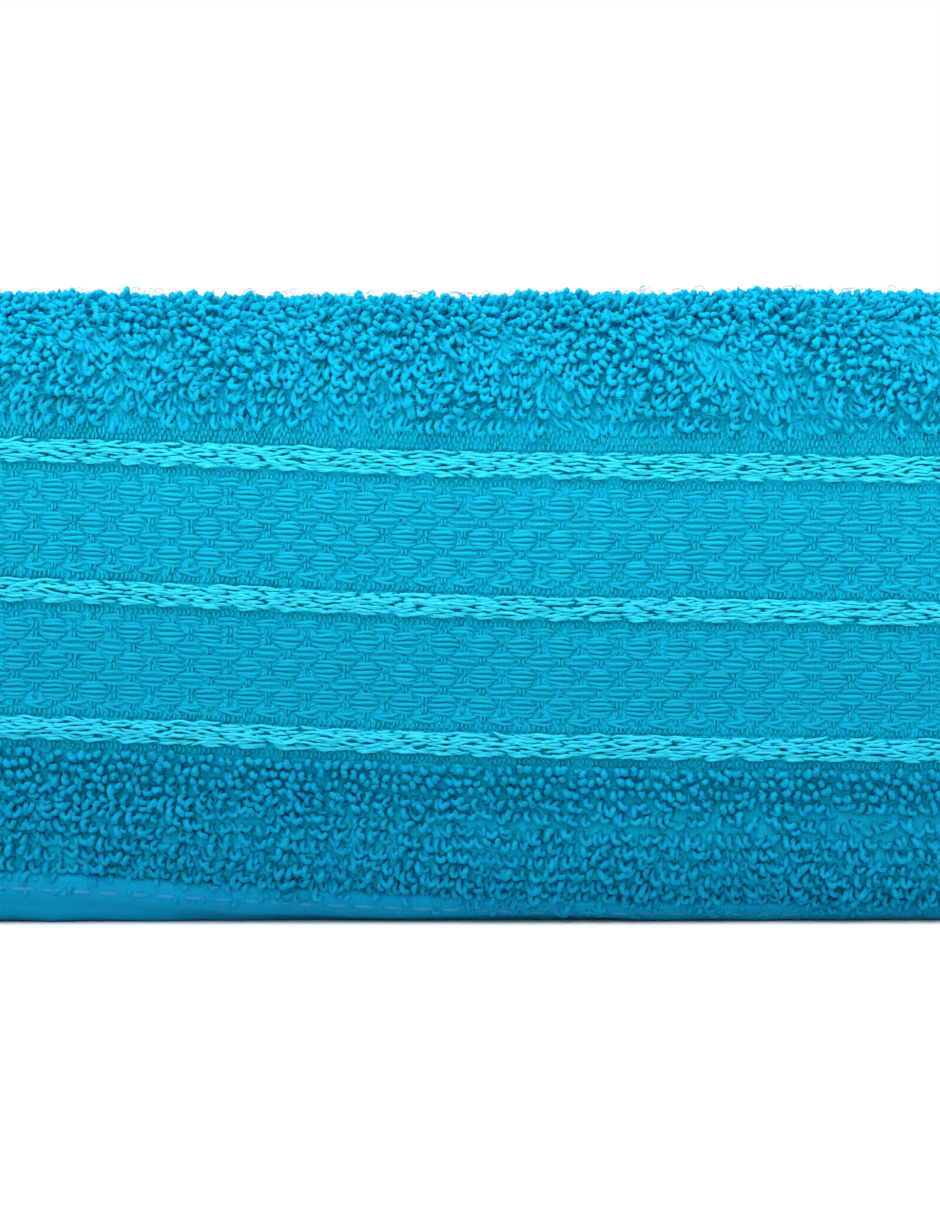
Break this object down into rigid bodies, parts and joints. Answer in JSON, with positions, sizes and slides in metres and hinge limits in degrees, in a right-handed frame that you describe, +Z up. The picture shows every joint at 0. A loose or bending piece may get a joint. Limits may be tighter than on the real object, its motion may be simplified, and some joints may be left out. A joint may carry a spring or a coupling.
{
  "type": "bath towel set",
  "caption": "Folded terry towels with woven border bands and shiny cords: bath towel, hand towel and face cloth; front leaves lift and the smaller towels lift off.",
  "frame": {"origin": "on the table, under the middle of the whole set", "axes": "+Z up, -Y towards the fronts where the hanging leaves and borders show, +X from the bath towel to the hand towel"},
  "size_m": [0.6138, 0.2374, 0.0668],
  "materials": {
    "terry_pile": "turquoise cotton loop pile, matt",
    "woven_band": "turquoise cotton dobby weave with short weft floats, matt",
    "shiny_cord": "light turquoise filament weft floats, glossy",
    "hem_cloth": "turquoise plain weave, turned in and sewn",
    "sewing_thread": "turquoise sewing thread",
    "care_label": "blank white woven tape"
  },
  "bodies": {
    "bath_towel": {"bath_care_label": "care_label", "bath_inner_border_band": "woven_band", "bath_inner_hem": "hem_cloth", "bath_inner_terry": "terry_pile", "bath_side_hem_lower": "hem_cloth", "bath_side_hem_upper": "hem_cloth", "bath_side_thread": "sewing_thread", "bath_terry_body": "terry_pile", "bath_top_turn_terry": "terry_pile"},
    "bath_leaf": {"bath_band_lower": "woven_band", "bath_band_upper": "woven_band", "bath_cord_lower": "shiny_cord", "bath_cord_middle": "shiny_cord", "bath_cord_upper": "shiny_cord", "bath_hem_thread": "sewing_thread", "bath_leaf_hem": "hem_cloth", "bath_leaf_side_hem_inner": "hem_cloth", "bath_leaf_side_hem_outer": "hem_cloth", "bath_leaf_terry_lower": "terry_pile", "bath_leaf_terry_upper": "terry_pile"},
    "hand_towel": {"hand_care_label": "care_label", "hand_inner_border_band": "woven_band", "hand_inner_hem": "hem_cloth", "hand_inner_terry": "terry_pile", "hand_side_hem_lower": "hem_cloth", "hand_side_hem_upper": "hem_cloth", "hand_side_thread": "sewing_thread", "hand_terry_body": "terry_pile", "hand_top_turn_terry": "terry_pile"},
    "hand_leaf": {"hand_band": "woven_band", "hand_cord_lower": "shiny_cord", "hand_cord_upper": "shiny_cord", "hand_hem_thread": "sewing_thread", "hand_leaf_hem": "hem_cloth", "hand_leaf_side_hem_inner": "hem_cloth", "hand_leaf_side_hem_outer": "hem_cloth", "hand_leaf_terry_lower": "terry_pile", "hand_leaf_terry_upper": "terry_pile"},
    "face_cloth": {"face_band": "woven_band", "face_care_label": "care_label", "face_cord_lower": "shiny_cord", "face_cord_upper": "shiny_cord", "face_front_hem": "hem_cloth", "face_front_terry": "terry_pile", "face_hem_thread": "sewing_thread", "face_inner_border_band": "woven_band", "face_inner_hem": "hem_cloth", "face_inner_terry": "terry_pile", "face_side_hem_lower": "hem_cloth", "face_side_hem_upper": "hem_cloth", "face_side_thread": "sewing_thread", "face_terry_body": "terry_pile"}
  },
  "joints": [
    {"name": "bath_leaf_lift", "type": "hinge", "parent": "bath_towel", "child": "bath_leaf", "pos_m": [-0.131, -0.11306, 0.06116], "axis": [-1, 0, 0], "range_deg": [0, 90]},
    {"name": "hand_towel_lift", "type": "slide", "parent": "bath_towel", "child": "hand_towel", "axis": [0, 0, 1], "range_m": [0, 0.15]},
    {"name": "hand_leaf_lift", "type": "hinge", "parent": "hand_towel", "child": "hand_leaf", "pos_m": [0.181, -0.09655, 0.03876], "axis": [-1, 0, 0], "range_deg": [0, 90]},
    {"name": "face_cloth_lift", "type": "slide", "parent": "hand_towel", "child": "face_cloth", "axis": [0, 0, 1], "range_m": [0, 0.12]}
  ]
}
